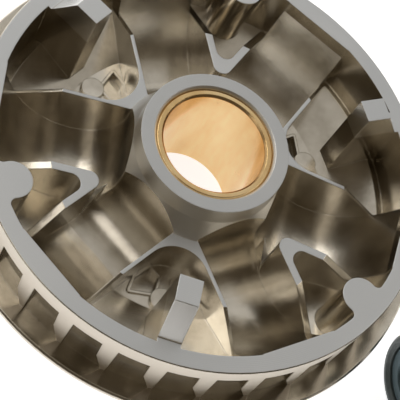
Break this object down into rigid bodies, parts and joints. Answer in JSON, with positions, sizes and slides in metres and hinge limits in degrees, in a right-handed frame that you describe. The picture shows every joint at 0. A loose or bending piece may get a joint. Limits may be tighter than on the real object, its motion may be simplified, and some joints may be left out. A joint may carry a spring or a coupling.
{
  "type": "cvt pulley set",
  "caption": "Scooter variator laid open: cast movable face with bronze bush, ramp plate, roller weights, slide pieces, boss and finned drive face.",
  "frame": {"origin": "centre of the bush bore, at the belt-side end of the movable face's hub, which is where the set rests", "axes": "+Z along the movable face's axis towards its ramp side, +X towards the ramp plate, +Y away from the drive face"},
  "size_m": [0.2553, 0.2573, 0.0565],
  "materials": {
    "nickel_casting": "bright nickel-coloured cast aluminium, machined faces matt grey",
    "bronze": "polished bronze",
    "plate_steel": "pressed steel, satin",
    "ground_steel": "ground steel",
    "drive_casting": "cast aluminium, belt face turned",
    "insert_steel": "broached steel",
    "washer_steel": "zinc-plated steel",
    "nut_steel": "zinc-plated steel",
    "sleeve_nylon": "moulded nylon",
    "core_steel": "dark oiled steel",
    "slide_plastic": "moulded plastic"
  },
  "bodies": {
    "movable_face": {"movable_face": "nickel_casting", "bush": "bronze"},
    "ramp_plate": {"ramp_plate": "plate_steel", "slide_piece_1": "slide_plastic", "slide_piece_2": "slide_plastic", "slide_piece_3": "slide_plastic"},
    "boss": {"boss": "ground_steel"},
    "drive_face": {"drive_face": "drive_casting", "spline_insert": "insert_steel"},
    "washer": {"washer": "washer_steel"},
    "nut": {"nut": "nut_steel"},
    "roller_1": {"roller_1_sleeve": "sleeve_nylon", "roller_1_core": "core_steel"},
    "roller_2": {"roller_2_sleeve": "sleeve_nylon", "roller_2_core": "core_steel"},
    "roller_3": {"roller_3_sleeve": "sleeve_nylon", "roller_3_core": "core_steel"},
    "roller_4": {"roller_4_sleeve": "sleeve_nylon", "roller_4_core": "core_steel"},
    "roller_5": {"roller_5_sleeve": "sleeve_nylon", "roller_5_core": "core_steel"},
    "roller_6": {"roller_6_sleeve": "sleeve_nylon", "roller_6_core": "core_steel"}
  },
  "joints": [
    {"name": "ramp_plate_lift", "type": "slide", "parent": "movable_face", "child": "ramp_plate", "axis": [0, 0, 1], "range_m": [0, 0.06]},
    {"name": "boss_lift", "type": "slide", "parent": "ramp_plate", "child": "boss", "axis": [0, 0, 1], "range_m": [0, 0.06]},
    {"name": "drive_face_lift", "type": "slide", "parent": "movable_face", "child": "drive_face", "axis": [0, 0, 1], "range_m": [0, 0.06]},
    {"name": "washer_lift", "type": "slide", "parent": "drive_face", "child": "washer", "axis": [0, 0, 1], "range_m": [0, 0.015]},
    {"name": "nut_lift", "type": "slide", "parent": "washer", "child": "nut", "axis": [0, 0, 1], "range_m": [0, 0.02]},
    {"name": "roller_6_lift", "type": "slide", "parent": "movable_face", "child": "roller_6", "axis": [0, 0, 1], "range_m": [0, 0.06]},
    {"name": "roller_1_travel", "type": "slide", "parent": "ramp_plate", "child": "roller_1", "axis": [-0.399, 0.8797, 0.2588], "range_m": [0, 0.009]},
    {"name": "roller_2_travel", "type": "slide", "parent": "ramp_plate", "child": "roller_2", "axis": [-0.9613, -0.0943, 0.2588], "range_m": [0, 0.009]},
    {"name": "roller_3_travel", "type": "slide", "parent": "ramp_plate", "child": "roller_3", "axis": [-0.5623, -0.7854, 0.2588], "range_m": [0, 0.009]},
    {"name": "roller_4_travel", "type": "slide", "parent": "ramp_plate", "child": "roller_4", "axis": [0.5623, -0.7854, 0.2588], "range_m": [0, 0.009]},
    {"name": "roller_5_travel", "type": "slide", "parent": "ramp_plate", "child": "roller_5", "axis": [0.9613, -0.0943, 0.2588], "range_m": [0, 0.009]}
  ],
  "couplings": [
    {"joint": "roller_2_travel", "follows": "roller_1_travel", "ratio": 1},
    {"joint": "roller_3_travel", "follows": "roller_1_travel", "ratio": 1},
    {"joint": "roller_4_travel", "follows": "roller_1_travel", "ratio": 1},
    {"joint": "roller_5_travel", "follows": "roller_1_travel", "ratio": 1}
  ]
}
